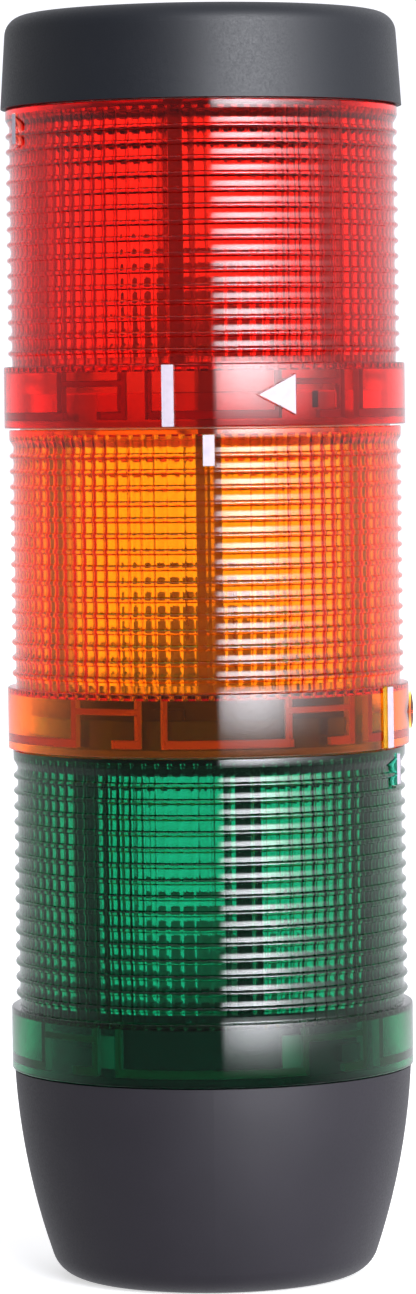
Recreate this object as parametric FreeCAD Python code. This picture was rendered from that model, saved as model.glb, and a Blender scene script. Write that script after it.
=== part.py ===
import FreeCAD, Part
import math
import os

# Stack light: a base, three twist-on light modules and a cap, stacked on one vertical axis.
# Millimetres and degrees. The origin is the centre of the base's underside, and +Z is up.
# An angle is measured from the front (-Y) towards +X, which is the positive turn about +Z.

# ---- driving dimensions ----
RING_D = 70.0            # outside diameter of the locking rings
RING_WALL = 2.4          # wall of a locking ring
RING_H = 11.0            # from a parting plane to the top of the ring above it
ROOF_T = 1.3             # web that joins a ring to its ribbed tube
BODY_H = 44.6            # ribbed part of a module, from the top of its ring to its top plane
PARTING_GAP = 0.3        # open joint line under each ring
MODULES = ("green", "amber", "red")

TUBE_WALL = 2.0          # ribbed tube, from its bore to the valleys of its ribs
TUBE_STEP = 1.5          # how far the valleys lie inside the ring's outside
RIB_PITCH = 2.7
RIB_DEPTH = 0.7
FIRST_RIB_DROP = 4.5     # from the module's top plane to the highest crest
LAST_RIB_ROOM = 0.5      # smooth tube over the ring, at least
SHOULDER_H = 1.7         # smooth band at the top of the tube

COLLAR_H = 6.2           # neck of a module, which the next ring goes over
COLLAR_WALL = 2.0
COLLAR_FIT = 1.6         # radial room between a collar and the ring over it
SEAL_H = 1.4
SEAL_FIT = 0.3           # radial room between a seal and the ring over it
CLEARANCE = 0.4          # running clearance of the bayonet
SEAT = 0.2               # slack of a piece that is pushed into another

TRAVEL = 11.0            # twist from locked to free
# Stops of the bayonet tracks, in degrees from the module's top mark. One space between them is wider
# than the others, so a module goes on one way only.
STOP_ANGLES = (-109.3, -22.7, 44.5, 113.2, 182.0)
LUG_W = 7.4              # lug, in degrees
LUG_PLAY = 0.7           # from a locked lug to its stop, in degrees
LUG_Z = 3.4              # underside of a lug over the parting plane
LUG_H = 2.8
LUG_OUT = 1.2            # how far a lug stands out of its collar
TRACK_OUT = 1.2          # how far a track's ribs stand into the ring
TRACK_Z = 1.8            # underside of the track's ribs
TRACK_T = 1.2            # thickness of the level ribs
UPRIGHT_W = 1.6          # width of the upright ribs, in degrees
FOOT_W = 7.4             # level rib under a locked lug, in degrees
FRAME_START = 8.1        # blank frame beside each stop, in degrees from the stop
WAY_W = 20.5             # lug's way in and under, from a frame's end to the next stop, in degrees
LINTEL_Z = 7.4           # level rib over a lug's way in
LINTEL_T = 0.8

MARK_RAISE = 0.7         # bar and arrow stand out of the ring by this
BAR_W = 2.3
BAR_ANGLE = 60.0         # bar, from the module's top mark
ARROW_SIZE = 7.0
ARROW_ANGLE = 30.05      # arrow's middle, from the bar
TOP_MARK_W = 2.2
TOP_MARK_H = 5.5
TOP_MARK_DROP = 0.9
TOP_MARK_RAISE = 0.2     # over the crests of the ribs
FIRST_ANGLE = 72.0       # angle of the lowest module's top mark

DISC_T = 2.0             # floor of a contact carrier
DISC_GAP = 0.7           # from a ring's web to the carrier's floor
HOOP_T = 2.4             # hoop at the top of a carrier
HOOP_H = 9.5             # hoop's top over the parting plane
POST_W = 9.0             # carrier's posts, in degrees
POST_T = 2.3
POST_INSET = 1.0         # posts inside the hoop's outside
STOP_NIBS = 3            # lens nibs over the carrier's floor
STOP_NIB_W = 12.0        # in degrees
STOP_NIB_OUT = 1.4
BARBS = 3                # carrier's barbs over the collar
BARB_START = 30.0        # angle of the first barb, in degrees
BARB_W = 10.0            # in degrees
BARB_H = 1.6
BARB_OUT = 1.2
RAILS = 6
RAIL_W = 3.0
RAIL_T = 0.8
RAIL_PROUD = 0.5         # contact tips over the hoop
RAIL_TAB = 2.3           # contact tips, from the outside of the rail inwards

SOCKET_H = 14.4
SOCKET_WALL = 1.9
SOCKET_FLANGE = 2.4      # flange, out of the socket's barrel
SOCKET_FLANGE_T = 2.0
LAMP_CAP_D = 15.0
LAMP_CAP_H = 14.0
LAMP_PIN_D = 2.0
LAMP_PIN_OUT = 1.3
LAMP_PIN_DROP = 6.6      # pins, from the top of the lamp cap
LAMP_D = 16.0
LAMP_GLASS_H = 28.0
LAMP_NECK_H = 1.0        # glass in the rim of the lamp cap
LAMP_NECK_SLOPE = 1.5    # from there to the glass's full width
LAMP_DOME_STEPS = 3      # slopes of the glass's domed top
LAMP_FLOOR = 1.2         # lamp cap over the carrier's floor

BASE_H = 36.0
BASE_INSET = 0.45        # how far the base's shoulder lies inside the ring's outside
BASE_TAPER = 7.65        # from the shoulder's radius to the foot's
BASE_SIDE_R = 120.0      # curve of the side, seen from the side
BASE_CORNER_R = 5.6
BASE_WALL = 2.6
BASE_FLOOR = 3.0
NECK_H = 9.4
LEDGE_H = 3.0            # carrier's ledge under the shoulder
LEDGE_W = 2.2
LEDGE_T = 1.6
CABLE_HOLE_D = 12.0
SCREW_PCD = 36.0
SCREW_HOLE_D = 5.3
SCREWS = 3
GASKET_OUT_D = 45.0
GASKET_W = 1.4
GASKET_T = 1.0
GASKET_FIT = 0.1
LATCH_ANGLES = (-35.0, 25.0, 145.0, 205.0)
LATCH_W = 3.4
LATCH_Z = 2.9            # underside of a latch over the base's shoulder
LATCH_H = 5.3

BLOCK_W = 9.0            # terminal block under the carrier's floor
BLOCK_L = 9.6
BLOCK_H = 9.6
CAGE_W = 6.4             # screw clamp in a terminal block
CAGE_L = 7.4
CAGE_H = 7.0
WIRE_HOLE_D = 3.4
TERMINAL_SCREW_D = 3.0
TERMINAL_HEAD_D = 5.4
TERMINAL_HEAD_H = 2.0
DRIVER_HOLE_D = 6.2
SLOT_W = 0.8
SLOT_DEPTH = 0.9

CAP_H = 16.5
CAP_CORNER_R = 3.6
CAP_DRAFT = 1.05
CAP_ROOF = 2.2
CAP_INNER_CHAMFER = 1.5

# ---- worked-out dimensions ----
RING_R = RING_D / 2
RING_BORE = RING_R - RING_WALL
PITCH = RING_H + BODY_H
VALLEY_R = RING_R - TUBE_STEP
CREST_R = VALLEY_R + RIB_DEPTH
RIBS = int((BODY_H - FIRST_RIB_DROP - RIB_PITCH / 2 - LAST_RIB_ROOM) / RIB_PITCH) + 1
TUBE_BORE = VALLEY_R - TUBE_WALL
COLLAR_R = RING_BORE - COLLAR_FIT
COLLAR_BORE = COLLAR_R - COLLAR_WALL
WEB_Z = RING_H - ROOF_T
TRACK_R = RING_BORE - TRACK_OUT
MODULE_TURN = -(BAR_ANGLE + TRAVEL)

DISC_R = TUBE_BORE - SEAT * 2
DISC_Z = WEB_Z + DISC_GAP
HOOP_R = COLLAR_BORE - CLEARANCE
RAIL_ANGLE = 360.0 / RAILS
POST_R = HOOP_R - POST_INSET
POST_BORE = POST_R - POST_T
RAIL_R = POST_BORE - SEAT
RAIL_TOP = HOOP_H + RAIL_PROUD
PAD_REACH = (-MODULE_TURN) % RAIL_ANGLE

SOCKET_BORE = LAMP_CAP_D / 2 + SEAT
SOCKET_R = SOCKET_BORE + SOCKET_WALL
BASE_SHOULDER_R = RING_R - BASE_INSET
BLOCK_R = RAIL_R + SEAT
OVERLAP = 0.5            # how deep a fused feature goes into its wall

AXIS = FreeCAD.Vector(0, 0, 1)
ORIGIN = FreeCAD.Vector(0, 0, 0)


def at(radius, angle, z):
    """Point at a radius, an angle from the front and a height."""
    turn = math.radians(angle)
    return FreeCAD.Vector(radius * math.sin(turn), -radius * math.cos(turn), z)


def width_angle(width, radius):
    """Angle in degrees that a width takes up on a circle."""
    return math.degrees(width / radius)


def sector(r_in, r_out, start, end, z_low, z_high):
    """Block between two radii, two angles and two heights."""
    corners = [at(r_in, start, z_low), at(r_out, start, z_low), at(r_out, start, z_high), at(r_in, start, z_high)]
    face = Part.Face(Part.makePolygon(corners + corners[:1]))
    return face.revolve(ORIGIN, AXIS, end - start)


def hoop(r_in, r_out, z_low, z_high):
    """Plain round ring."""
    outer = Part.makeCylinder(r_out, z_high - z_low, FreeCAD.Vector(0, 0, z_low))
    return outer.cut(Part.makeCylinder(r_in, z_high - z_low, FreeCAD.Vector(0, 0, z_low)))


def turned(points):
    """Solid of revolution from its closed half section, given as (radius, height) points."""
    corners = [at(radius, 0, z) for radius, z in points]
    face = Part.Face(Part.makePolygon(corners + corners[:1]))
    return face.revolve(ORIGIN, AXIS, 360)


def bar(width, r_in, r_out, z_low, z_high, angle):
    """Straight block of one width, which lies along a radius."""
    block = Part.makeBox(width, r_out - r_in, z_high - z_low, FreeCAD.Vector(-width / 2, -r_out, z_low))
    block.rotate(ORIGIN, AXIS, angle)
    return block


def moved(shape, z, turn=0.0):
    """Copy of a shape, lifted and turned about the axis."""
    copy = shape.copy()
    copy.rotate(ORIGIN, AXIS, turn)
    copy.translate(FreeCAD.Vector(0, 0, z))
    return copy


def round_the_axis(count, start=0.0):
    """Angles of a number of like features, evenly spread."""
    return [start + 360.0 / count * step for step in range(count)]


def lugs():
    """Bayonet lugs of a neck whose shoulder is at height 0, each beside its stop in the ring above."""
    ends = [MODULE_TURN + stop - LUG_PLAY for stop in STOP_ANGLES]
    return [
        sector(COLLAR_R - OVERLAP, COLLAR_R + LUG_OUT, end - LUG_W, end, LUG_Z, LUG_Z + LUG_H)
        for end in ends
    ]


def track_ribs(top):
    """Ribs of the bayonet tracks inside a ring, whose uprights end at the given height."""
    wall = RING_BORE + OVERLAP
    low = TRACK_Z
    level = TRACK_Z + TRACK_T
    overlap = UPRIGHT_W / 2
    ribs = []
    for stop, next_stop in zip(STOP_ANGLES, STOP_ANGLES[1:] + (STOP_ANGLES[0] + 360.0,)):
        frame_start = stop + FRAME_START
        frame_end = next_stop - WAY_W
        for start in (stop, frame_start, frame_end - UPRIGHT_W):
            ribs.append(sector(TRACK_R, wall, start, start + UPRIGHT_W, low, top))
        ribs.append(sector(TRACK_R, wall, stop - FOOT_W, stop + overlap, low, level))
        ribs.append(sector(TRACK_R, wall, frame_start, frame_end, low, level))
        lintel_top = LINTEL_Z + LINTEL_T
        ribs.append(sector(TRACK_R, wall, frame_end - overlap, next_stop + overlap, LINTEL_Z, lintel_top))
    return ribs


def arrow():
    """Raised arrow on the ring, which points to the locked side."""
    half = ARROW_SIZE / 2
    middle = (PARTING_GAP + RING_H) / 2
    inside = RING_R - RING_WALL / 2
    outside = RING_R + RING_WALL
    tip = FreeCAD.Vector(-half, -inside, middle)
    top = FreeCAD.Vector(half, -inside, middle + half)
    bottom = FreeCAD.Vector(half, -inside, middle - half)
    face = Part.Face(Part.makePolygon([tip, top, bottom, tip]))
    prism = face.extrude(FreeCAD.Vector(0, inside - outside, 0))
    prism.rotate(ORIGIN, AXIS, BAR_ANGLE + ARROW_ANGLE)
    return prism.common(Part.makeCylinder(RING_R + MARK_RAISE, PITCH))


def marks():
    """Raised bar, arrow and short top mark of a lens."""
    half_bar = width_angle(BAR_W, RING_R) / 2
    half_top = width_angle(TOP_MARK_W, CREST_R) / 2
    top = PITCH - TOP_MARK_DROP
    inside = RING_R - RING_WALL / 2
    outside = RING_R + MARK_RAISE
    return [
        sector(inside, outside, BAR_ANGLE - half_bar, BAR_ANGLE + half_bar, PARTING_GAP, RING_H),
        sector(VALLEY_R - OVERLAP, CREST_R + TOP_MARK_RAISE, -half_top, half_top, top - TOP_MARK_H, top),
        arrow(),
    ]


def rib_section():
    """Outside of the ribbed tube, from the ring up to the shoulder, as (radius, height) points."""
    points = [(VALLEY_R, RING_H)]
    for rib in range(RIBS):
        crest = PITCH - FIRST_RIB_DROP - RIB_PITCH * (RIBS - 1 - rib)
        points += [(VALLEY_R, crest - RIB_PITCH / 2), (CREST_R, crest)]
    shoulder = PITCH - SHOULDER_H
    points += [(VALLEY_R, crest + RIB_PITCH / 2), (CREST_R, shoulder), (CREST_R, PITCH)]
    return points


def lens():
    """Coloured moulding of a module: ring, ribbed tube, shoulder, collar and marks."""
    inner_slope = PITCH - SHOULDER_H - TUBE_WALL
    section = [(RING_BORE, PARTING_GAP), (RING_R, PARTING_GAP), (RING_R, RING_H)]
    section += rib_section()
    section += [(COLLAR_R, PITCH), (COLLAR_R, PITCH + COLLAR_H), (COLLAR_BORE, PITCH + COLLAR_H)]
    section += [(COLLAR_BORE, inner_slope + TUBE_WALL), (TUBE_BORE, inner_slope)]
    section += [(TUBE_BORE, WEB_Z), (RING_BORE, WEB_Z)]
    nib_z = DISC_Z + DISC_T + PARTING_GAP
    nibs = [
        sector(TUBE_BORE - STOP_NIB_OUT, TUBE_BORE + OVERLAP, start, start + STOP_NIB_W, nib_z, nib_z + DISC_T)
        for start in round_the_axis(STOP_NIBS)
    ]
    neck_lugs = [moved(lug, PITCH) for lug in lugs()]
    body = turned(section)
    return body.multiFuse(track_ribs(WEB_Z + ROOF_T / 2) + neck_lugs + marks() + nibs).removeSplitter()


def seal():
    """Rubber ring at the root of a neck whose shoulder is at height 0."""
    return hoop(COLLAR_R, RING_BORE - SEAL_FIT, 0, SEAL_H)


def contact_carrier():
    """Black cage of a module: floor, posts that back the rails, and a hoop with barbs over the collar."""
    top = PITCH + HOOP_H
    hoop_low = PITCH - COLLAR_WALL
    floor = Part.makeCylinder(DISC_R, DISC_T, FreeCAD.Vector(0, 0, DISC_Z))
    barb_z = PITCH + COLLAR_H + PARTING_GAP
    half_post = POST_W / 2
    fused = [hoop(HOOP_R - HOOP_T, HOOP_R, hoop_low, top)]
    fused += [
        sector(POST_BORE, POST_R, RAIL_ANGLE * rail - half_post, RAIL_ANGLE * rail + half_post, DISC_Z, top)
        for rail in range(RAILS)
    ]
    fused += [
        sector(HOOP_R - OVERLAP, HOOP_R + BARB_OUT, start, start + BARB_W, barb_z, barb_z + BARB_H)
        for start in round_the_axis(BARBS, BARB_START)
    ]
    cage = floor.multiFuse(fused)
    cuts = []
    for rail in range(RAILS):
        angle = RAIL_ANGLE * rail
        slot_r = RAIL_R - RAIL_T - SEAT
        cuts.append(bar(RAIL_W + 2 * SEAT, slot_r, POST_BORE, DISC_Z, DISC_Z + DISC_T, angle))
        cuts.append(pad(angle, SEAT))
    return cage.cut(cuts).removeSplitter()


def pad(angle, slack=0.0):
    """Level foot of a rail, long enough to meet the rail tip below at both ends of the twist."""
    half = width_angle(RAIL_W / 2 + slack, RAIL_R)
    r_in = RAIL_R - RAIL_TAB - slack
    return sector(r_in, RAIL_R + slack, angle - half, angle + PAD_REACH + half, DISC_Z, DISC_Z + RAIL_T + slack)


def contact_rail(angle):
    """Brass strip that carries one line from the module's underside to the tip over its hoop."""
    top = PITCH + RAIL_TOP
    strip = bar(RAIL_W, RAIL_R - RAIL_T, RAIL_R, DISC_Z, top, angle)
    tip = bar(RAIL_W, RAIL_R - RAIL_TAB, RAIL_R, top - RAIL_T, top, angle)
    return strip.multiFuse([tip, pad(angle)]).removeSplitter()


def lamp_socket():
    """Bayonet lamp holder on the carrier's floor, with two slots for the lamp's pins."""
    floor = DISC_Z + DISC_T
    slot_low = lamp_pin_z() - LAMP_PIN_D / 2 - SEAT
    slot_w = LAMP_PIN_D + 2 * SEAT
    section = [(0, floor), (SOCKET_R + SOCKET_FLANGE, floor), (SOCKET_R + SOCKET_FLANGE, floor + SOCKET_FLANGE_T)]
    section += [(SOCKET_R, floor + SOCKET_FLANGE_T), (SOCKET_R, floor + SOCKET_H)]
    section += [(SOCKET_BORE, floor + SOCKET_H), (SOCKET_BORE, floor + LAMP_FLOOR), (0, floor + LAMP_FLOOR)]
    slots = [
        bar(slot_w, SOCKET_BORE - OVERLAP, SOCKET_R + OVERLAP, slot_low, floor + SOCKET_H + OVERLAP, side)
        for side in (0.0, 180.0)
    ]
    return turned(section).cut(slots)


def lamp_pin_z():
    """Height of the lamp's bayonet pins."""
    return DISC_Z + DISC_T + LAMP_FLOOR + LAMP_CAP_H - LAMP_PIN_DROP


def lamp_cap():
    """Brass cap of the lamp with its two bayonet pins."""
    bottom = DISC_Z + DISC_T + LAMP_FLOOR
    reach = LAMP_CAP_D + 2 * LAMP_PIN_OUT
    shell = Part.makeCylinder(LAMP_CAP_D / 2, LAMP_CAP_H, FreeCAD.Vector(0, 0, bottom))
    start = FreeCAD.Vector(0, -reach / 2, lamp_pin_z())
    return shell.fuse(Part.makeCylinder(LAMP_PIN_D / 2, reach, start, FreeCAD.Vector(0, 1, 0)))


def lamp_glass():
    """Tubular lamp glass with a domed top."""
    low = DISC_Z + DISC_T + LAMP_FLOOR + LAMP_CAP_H
    high = low + LAMP_GLASS_H
    neck = LAMP_CAP_D / 2 - SEAT
    radius = LAMP_D / 2
    section = [(0, low), (neck, low), (neck, low + LAMP_NECK_H), (radius, low + LAMP_NECK_H + LAMP_NECK_SLOPE)]
    section += [
        (radius * math.cos(turn), high - radius + radius * math.sin(turn))
        for turn in [math.pi / 2 / LAMP_DOME_STEPS * step for step in range(LAMP_DOME_STEPS)]
    ]
    section.append((0, high))
    return turned(section)


def side_centre():
    """Radius and height of the centre of the base's curved side."""
    chord = math.hypot(BASE_TAPER, BASE_H)
    to_chord = math.sqrt(BASE_SIDE_R ** 2 - chord ** 2 / 4)
    centre_r = BASE_SHOULDER_R - BASE_TAPER / 2 - to_chord * BASE_H / chord
    return centre_r, BASE_H / 2 + to_chord * BASE_TAPER / chord


def base_side(z, inset=0.0):
    """Radius of the base's curved side at a height, or of a line that lies inside it by the inset."""
    centre_r, centre_z = side_centre()
    return centre_r + math.sqrt((BASE_SIDE_R - inset) ** 2 - (z - centre_z) ** 2)


def arc(low, middle, high):
    """Edge through three (radius, height) points of a half section."""
    return Part.Arc(at(low[0], 0, low[1]), at(middle[0], 0, middle[1]), at(high[0], 0, high[1])).toShape()


def base_body():
    """Solid cup with its neck: rounded foot, curved side, level shoulder."""
    centre_r, centre_z = side_centre()
    foot_r = base_side(BASE_CORNER_R, BASE_CORNER_R)
    lean = math.atan2(centre_z - BASE_CORNER_R, foot_r - centre_r)
    half = (math.pi / 2 + lean) / 2
    corner = [
        (foot_r + BASE_CORNER_R * math.sin(turn), BASE_CORNER_R - BASE_CORNER_R * math.cos(turn))
        for turn in (0, math.pi / 2 - half, math.pi / 2 - lean)
    ]
    side = [corner[2]] + [(base_side(z), z) for z in (BASE_H / 2, BASE_H)]
    top = BASE_H + NECK_H
    rest = [side[2], (COLLAR_R, BASE_H), (COLLAR_R, top), (0, top), (0, 0), corner[0]]
    lines = Part.makePolygon([at(radius, 0, z) for radius, z in rest])
    wire = Part.Wire([arc(*corner), arc(*side)] + lines.Edges)
    return Part.Face(wire).revolve(ORIGIN, AXIS, 360)


def base_housing():
    """Black cup with a curved side, a ledge for the terminal carrier and a neck with lugs and windows."""
    ledge_r = COLLAR_BORE - LEDGE_W
    ledge_top = BASE_H - LEDGE_H
    ledge_low = ledge_top - LEDGE_T
    slope_low = ledge_low - LEDGE_W
    top = BASE_H + NECK_H
    neck_lugs = [moved(lug, BASE_H, FIRST_ANGLE - MODULE_TURN) for lug in lugs()]
    body = base_body().multiFuse(neck_lugs)
    cavity = [(0, BASE_FLOOR)]
    cavity += [(base_side(z, BASE_WALL), z) for z in (BASE_FLOOR, (BASE_FLOOR + slope_low) / 2, slope_low)]
    cavity += [(ledge_r, ledge_low), (ledge_r, ledge_top), (COLLAR_BORE, ledge_top), (COLLAR_BORE, top), (0, top)]
    cuts = [turned(cavity), Part.makeCylinder(CABLE_HOLE_D / 2, BASE_FLOOR)]
    for angle in round_the_axis(SCREWS):
        cuts.append(Part.makeCylinder(SCREW_HOLE_D / 2, BASE_FLOOR, at(SCREW_PCD / 2, angle, 0)))
    cuts.append(hoop(GASKET_OUT_D / 2 - GASKET_W, GASKET_OUT_D / 2, 0, GASKET_T))
    cuts += [latch(angle, SEAT, COLLAR_R + OVERLAP) for angle in LATCH_ANGLES]
    return body.cut(cuts).removeSplitter()


def latch(angle, slack, r_out):
    """Latch of the terminal carrier, or with slack the window that it springs into."""
    half = width_angle(LATCH_W / 2 + slack, COLLAR_R)
    z_low = BASE_H + LATCH_Z - slack
    r_in = COLLAR_BORE - 2 * CLEARANCE
    return sector(r_in, r_out, angle - half, angle + half, z_low, z_low + LATCH_H + 2 * slack)


def base_gasket():
    """Flat rubber ring in the groove of the base's underside."""
    outer = GASKET_OUT_D / 2
    return hoop(outer - GASKET_W + GASKET_FIT, outer - GASKET_FIT, 0, GASKET_T)


def terminal_angle(line):
    """Angle of a terminal in the base, in line with the feet of the lowest module's rails."""
    return FIRST_ANGLE + PAD_REACH + RAIL_ANGLE * line


def terminal_carrier():
    """White insert of the base: floor, hoop with latches and one block for each terminal."""
    floor_z = BASE_H - LEDGE_H
    hoop_r = HOOP_R
    floor = Part.makeCylinder(hoop_r, LEDGE_H, FreeCAD.Vector(0, 0, floor_z))
    fused = [hoop(hoop_r - HOOP_T, hoop_r, floor_z, BASE_H + HOOP_H)]
    fused += [latch(angle, 0.0, COLLAR_R - SEAT) for angle in LATCH_ANGLES]
    cuts = []
    half_post = POST_W / 2
    for line in range(RAILS):
        angle = terminal_angle(line)
        fused.append(bar(BLOCK_W, BLOCK_R - BLOCK_L, BLOCK_R, floor_z - BLOCK_H, floor_z, angle))
        fused.append(sector(POST_BORE, POST_R, angle - half_post, angle + half_post, floor_z, BASE_H + HOOP_H))
        cage_r = RAIL_R - CAGE_L
        pocket_w = CAGE_W + 2 * SEAT
        cage_top = floor_z - TERMINAL_HEAD_H
        cuts.append(bar(pocket_w, cage_r - SEAT, BLOCK_R, floor_z - BLOCK_H, cage_top + SEAT, angle))
        cuts.append(bar(WIRE_HOLE_D, BLOCK_R - 2 * BLOCK_L, cage_r, floor_z - BLOCK_H, cage_top - SEAT, angle))
        slot_r = RAIL_R - RAIL_T - SEAT
        cuts.append(bar(RAIL_W + 2 * SEAT, slot_r, BLOCK_R, floor_z - BLOCK_H, BASE_H, angle))
        cuts.append(Part.makeCylinder(DRIVER_HOLE_D / 2, LEDGE_H + BLOCK_H, at(screw_r(), angle, cage_top)))
    return floor.multiFuse(fused).cut(cuts).removeSplitter()


def screw_r():
    """Radius on which the terminal screws stand."""
    return RAIL_R - RAIL_T - CAGE_L / 2


def base_contact(line):
    """Brass terminal: a clamp cage and the strip that rises from it to the contact tip."""
    angle = terminal_angle(line)
    cage_top = BASE_H - LEDGE_H - TERMINAL_HEAD_H
    cage_low = cage_top - CAGE_H
    top = BASE_H + RAIL_TOP
    cage = bar(CAGE_W, RAIL_R - CAGE_L, RAIL_R, cage_low, cage_top, angle)
    strip = bar(RAIL_W, RAIL_R - RAIL_T, RAIL_R, cage_low, top, angle)
    tip = bar(RAIL_W, RAIL_R - RAIL_TAB, RAIL_R, top - RAIL_T, top, angle)
    wire_z = cage_low + WIRE_HOLE_D / 2 + RAIL_T
    wire_hole = Part.makeCylinder(
        WIRE_HOLE_D / 2, CAGE_L - RAIL_T, at(RAIL_R - CAGE_L, angle, wire_z), at(1, angle, 0)
    )
    thread = Part.makeCylinder(TERMINAL_SCREW_D / 2 + SEAT / 2, cage_top - wire_z, at(screw_r(), angle, wire_z))
    return cage.multiFuse([strip, tip]).cut([wire_hole, thread]).removeSplitter()


def terminal_screws():
    """Slotted clamp screws, one in each terminal."""
    cage_top = BASE_H - LEDGE_H - TERMINAL_HEAD_H
    wire_top = cage_top - CAGE_H + WIRE_HOLE_D + RAIL_T
    screws = []
    for line in range(RAILS):
        angle = terminal_angle(line)
        shank = Part.makeCylinder(TERMINAL_SCREW_D / 2, cage_top - wire_top, at(screw_r(), angle, wire_top))
        head = Part.makeCylinder(TERMINAL_HEAD_D / 2, TERMINAL_HEAD_H, at(screw_r(), angle, cage_top))
        slot_z = cage_top + TERMINAL_HEAD_H - SLOT_DEPTH
        slot_in = screw_r() - TERMINAL_HEAD_D
        slot = bar(SLOT_W, slot_in, screw_r() + TERMINAL_HEAD_D, slot_z, slot_z + TERMINAL_HEAD_H, angle)
        screws.append(shank.fuse(head).cut(slot))
    return Part.makeCompound(screws)


def cap_shell():
    """Black cap with a drafted side, a rounded top edge and the bayonet tracks inside."""
    section = [(0, PARTING_GAP), (RING_R, PARTING_GAP), (RING_R - CAP_DRAFT, CAP_H), (0, CAP_H)]
    shell = turned(section)
    rim = [edge for edge in shell.Edges if edge.BoundBox.ZMin > CAP_H - OVERLAP and edge.BoundBox.XLength > 1]
    shell = shell.makeFillet(CAP_CORNER_R, rim)
    ceiling = CAP_H - CAP_ROOF
    corner = CAP_INNER_CHAMFER
    bore = [(0, 0), (RING_BORE, 0), (RING_BORE, ceiling - corner), (RING_BORE - corner, ceiling), (0, ceiling)]
    return shell.cut(turned(bore)).multiFuse(track_ribs(WEB_Z)).removeSplitter()


def module_nodes(colour, z, turn):
    """Every piece of one light module, at its height and turn in the stack."""
    pieces = {
        "lens": lens(),
        "contact_carrier": contact_carrier(),
        "lamp_socket": lamp_socket(),
        "lamp_cap": lamp_cap(),
        "lamp_glass": lamp_glass(),
        "seal": moved(seal(), PITCH),
    }
    for rail in range(RAILS):
        pieces[f"contact_rail_{rail + 1}"] = contact_rail(RAIL_ANGLE * rail)
    return {f"{colour}_{name}": moved(shape, z, turn) for name, shape in pieces.items()}


def build():
    """All nodes of the stack light, by name."""
    nodes = {
        "base_housing": base_housing(),
        "base_gasket": base_gasket(),
        "base_seal": moved(seal(), BASE_H),
        "terminal_carrier": terminal_carrier(),
        "terminal_screws": terminal_screws(),
    }
    for line in range(RAILS):
        nodes[f"base_contact_{line + 1}"] = base_contact(line)
    for level, colour in enumerate(MODULES):
        nodes.update(module_nodes(colour, BASE_H + PITCH * level, FIRST_ANGLE + MODULE_TURN * level))
    levels = len(MODULES)
    nodes["cap_shell"] = moved(cap_shell(), BASE_H + PITCH * levels, FIRST_ANGLE + MODULE_TURN * levels)
    return nodes


os.makedirs("parts", exist_ok=True)
for name, shape in build().items():
    shape.exportStep(f"parts/{name}.step")
    print(f"{name}: {len(shape.Solids)} solid, valid {shape.isValid()}, {shape.Volume:.0f} mm3")
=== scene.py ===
import logging
import math
from dataclasses import dataclass
from enum import Enum
from typing import Callable, Optional, Sequence

import bpy
import numpy as np
from mathutils import Matrix


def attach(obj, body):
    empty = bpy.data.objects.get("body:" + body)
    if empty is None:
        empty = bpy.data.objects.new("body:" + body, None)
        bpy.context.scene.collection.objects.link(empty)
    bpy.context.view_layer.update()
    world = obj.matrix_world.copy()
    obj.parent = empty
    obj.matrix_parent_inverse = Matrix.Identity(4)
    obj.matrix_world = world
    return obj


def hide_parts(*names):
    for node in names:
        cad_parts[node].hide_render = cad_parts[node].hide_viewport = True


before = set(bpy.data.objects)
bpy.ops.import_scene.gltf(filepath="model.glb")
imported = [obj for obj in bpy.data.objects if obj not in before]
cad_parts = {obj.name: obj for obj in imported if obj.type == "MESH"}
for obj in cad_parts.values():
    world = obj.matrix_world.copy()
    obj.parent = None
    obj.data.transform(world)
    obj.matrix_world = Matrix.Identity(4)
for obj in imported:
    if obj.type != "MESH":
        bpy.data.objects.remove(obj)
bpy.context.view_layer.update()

MM = 0.001
log = logging.getLogger("stack_light")

Loop = np.ndarray                               # a closed ring of points, one row each
Face = tuple[int, ...]                          # the numbers of a face's points, in order
Spot = tuple[float, float]                      # radius and height of a section's point
Span = tuple[float, float]                      # lowest and highest value
Profile = Callable[[np.ndarray], np.ndarray]    # half height over a width from 0 to 1
Steps = tuple[tuple[float, float], ...]         # angles in degrees, each with its radiance


class Colour(Enum):
    """Colours of the three light modules, from the base up."""

    GREEN = "green"
    AMBER = "amber"
    RED = "red"


# ---------------------------------------------------------------- materials

# numbers of the Mix node's sockets: its factor, two colours and their mix, and two values
MIX_SHARE = 0
COLOUR_A, COLOUR_B, COLOUR_MIXED = 6, 7, 2
VALUE_A, VALUE_B = 2, 3

NOISE_RANGE: Span = (0.3, 0.7)      # where nearly all values of a noise lie
DARKEST = 1e-3                      # least value of a tint, which keeps its logarithm finite


def linear(code: str) -> tuple[float, float, float, float]:
    """Turn an sRGB hex colour into linear values.

    Args:
        code: six hex digits.

    Returns:
        Linear red, green and blue, and an alpha of 1.
    """
    parts = [int(code[i:i + 2], 16) / 255 for i in (0, 2, 4)]
    red, green, blue = (c / 12.92 if c <= 0.04045 else ((c + 0.055) / 1.055) ** 2.4 for c in parts)
    return red, green, blue, 1.0


def add_node(tree: bpy.types.NodeTree, kind: str, settings: dict[str | int, object],
             links: Optional[dict[str | int, bpy.types.NodeSocket]] = None) -> bpy.types.Node:
    """Add one node with its settings and its incoming links.

    Args:
        tree: the node tree of a material or of the world.
        kind: Blender's type name of the node.
        settings: attribute names, or socket names and numbers, with their values.
        links: input sockets of the node, each with the output socket that feeds it.

    Returns:
        The new node.
    """
    node = tree.nodes.new(kind)
    for key, value in settings.items():
        if isinstance(key, str) and hasattr(node, key) and key not in node.inputs:
            setattr(node, key, value)
        else:
            node.inputs[key].default_value = value
    for key, source in (links or {}).items():
        tree.links.new(source, node.inputs[key])
    return node


def grain_scale(size_mm: float) -> float:
    """Noise scale at which one grain is about the given size in millimetres."""
    return 1.0 / (size_mm * MM)


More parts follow.
